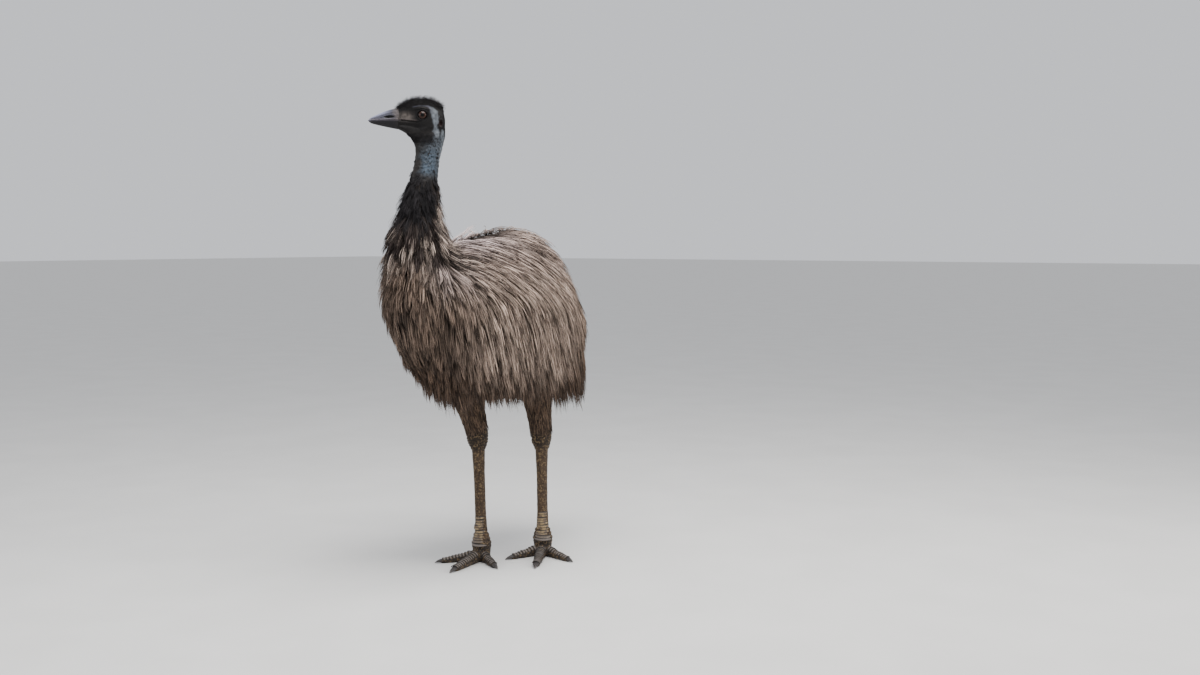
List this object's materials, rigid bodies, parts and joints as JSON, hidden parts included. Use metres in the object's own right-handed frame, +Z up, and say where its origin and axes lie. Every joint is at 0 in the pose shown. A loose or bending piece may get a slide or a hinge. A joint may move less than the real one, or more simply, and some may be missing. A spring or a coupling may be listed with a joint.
{
  "type": "emu model",
  "caption": "Life-size standing emu with shaggy lock plumage, its head turned to its right, resting on its own three-toed feet.",
  "frame": {"origin": "on the floor, under the middle of the bird's bounding box", "axes": "+Z up, the bird faces -Y, its left side is +X"},
  "size_m": [0.504, 0.9032, 1.489],
  "materials": {
    "head_skin": "matt blue-grey skin under short black feathers",
    "bill_horn": "dull dark horn, paler towards the tip",
    "eye": "wet, glossy, brown-orange iris with a dark pupil",
    "neck_feathers": "hair-like black feathers, matt",
    "collar_feathers": "shaggy brown-grey feathers mottled black, matt",
    "body_feathers": "long loose grey-brown feathers with dark tips, matt",
    "leg_feathers": "short brown feathers, matt",
    "leg_scales": "scaly brown leather, dull satin",
    "claw": "dark worn horn"
  },
  "bodies": {
    "root": {"head": "head_skin", "bill_upper": "bill_horn", "bill_lower": "bill_horn", "eye_left": "eye", "eye_right": "eye", "neck_upper": "neck_feathers", "neck_lower": "collar_feathers", "torso": "body_feathers", "tail": "body_feathers", "shank_left": "leg_feathers", "shank_right": "leg_feathers", "hock_left": "leg_scales", "hock_right": "leg_scales", "tarsus_left": "leg_scales", "tarsus_right": "leg_scales", "foot_left": "leg_scales", "foot_right": "leg_scales", "toe_inner_left": "leg_scales", "toe_middle_left": "leg_scales", "toe_outer_left": "leg_scales", "toe_inner_right": "leg_scales", "toe_middle_right": "leg_scales", "toe_outer_right": "leg_scales", "claw_inner_left": "claw", "claw_middle_left": "claw", "claw_outer_left": "claw", "claw_inner_right": "claw", "claw_middle_right": "claw", "claw_outer_right": "claw"}
  },
  "joints": []
}
